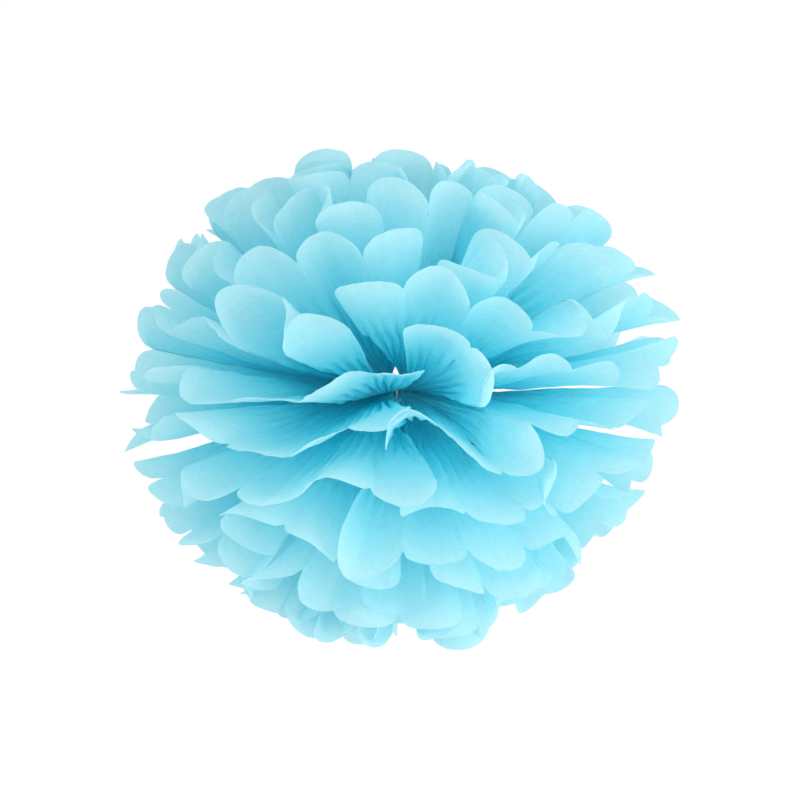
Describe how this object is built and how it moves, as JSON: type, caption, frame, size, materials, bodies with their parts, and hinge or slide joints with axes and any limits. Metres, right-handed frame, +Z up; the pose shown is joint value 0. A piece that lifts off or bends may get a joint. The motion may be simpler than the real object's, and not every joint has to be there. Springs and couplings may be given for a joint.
{
  "type": "tissue paper pom pom",
  "caption": "Hanging ball of pleated tissue paper sheets, bound at the middle with wire and fanned out into rows of rounded petals.",
  "frame": {"origin": "middle of the wire binding, where the ball hangs from its tie", "axes": "+Z up through the rows of petals, +X along the folded strip through the middles of the two fans, +Y from front to back, where the two fans' outer petals meet"},
  "size_m": [0.3478, 0.3513, 0.3143],
  "materials": {
    "tissue": "pale cyan tissue, dyed through, matt and translucent",
    "binding_wire": "soft bare steel florist's wire"
  },
  "bodies": {
    "root": {"tissue_sheet_01": "tissue", "tissue_sheet_02": "tissue", "tissue_sheet_03": "tissue", "tissue_sheet_04": "tissue", "tissue_sheet_05": "tissue", "tissue_sheet_06": "tissue", "tissue_sheet_07": "tissue", "tissue_sheet_08": "tissue", "tissue_sheet_09": "tissue", "tissue_sheet_10": "tissue", "wire_tie": "binding_wire"}
  },
  "joints": []
}
